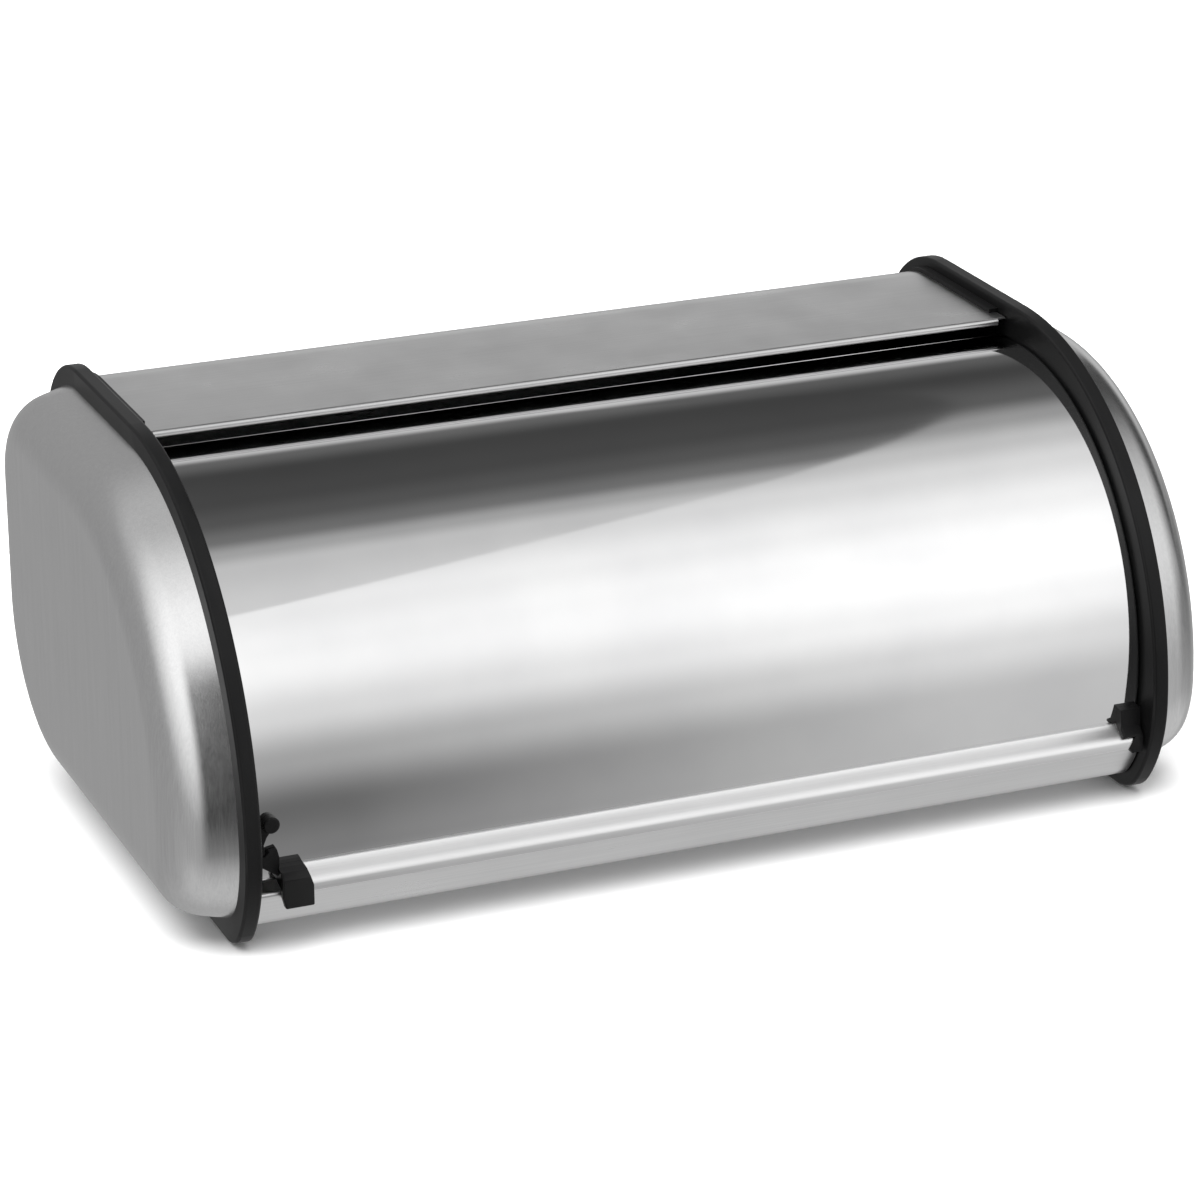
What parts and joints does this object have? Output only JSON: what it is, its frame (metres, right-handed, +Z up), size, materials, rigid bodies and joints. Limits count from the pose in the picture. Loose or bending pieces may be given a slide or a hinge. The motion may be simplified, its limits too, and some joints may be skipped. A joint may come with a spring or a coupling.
{
  "type": "bread box with roll top",
  "caption": "Stainless bread box with black side frames and a polished curved lid that rolls back under the roof.",
  "frame": {"origin": "on the table, under the middle of the box", "axes": "+X to the right of someone facing the box, -Y towards that person, +Z up"},
  "size_m": [0.4388, 0.251, 0.174],
  "materials": {
    "satin_steel": "satin",
    "polished_steel": "polished",
    "black_plastic": "satin",
    "rivet_steel": "satin",
    "rubber": "matte"
  },
  "bodies": {
    "body": {"top_back_sheet": "satin_steel", "base_tray": "satin_steel", "seam_rivets": "rivet_steel", "left_side_frame": "black_plastic", "right_side_frame": "black_plastic", "left_end_cap": "satin_steel", "right_end_cap": "satin_steel", "left_cap_screws": "rivet_steel", "right_cap_screws": "rivet_steel", "left_pivot_pin": "rivet_steel", "right_pivot_pin": "rivet_steel", "left_pin_clip": "rivet_steel", "right_pin_clip": "rivet_steel", "left_stop_buffers": "rubber", "right_stop_buffers": "rubber"},
    "lid": {"lid_sheet": "polished_steel", "lip_rail": "polished_steel", "lip_rivets": "rivet_steel", "left_lid_block": "black_plastic", "right_lid_block": "black_plastic", "lid_block_screws": "rivet_steel", "left_lid_arm": "black_plastic", "right_lid_arm": "black_plastic", "left_arm_rivets": "rivet_steel", "right_arm_rivets": "rivet_steel"}
  },
  "joints": [
    {"name": "lid_roll", "type": "hinge", "parent": "body", "child": "lid", "pos_m": [0, -0.0053, 0.0524], "axis": [-1, 0, 0], "range_deg": [0, 86]}
  ]
}
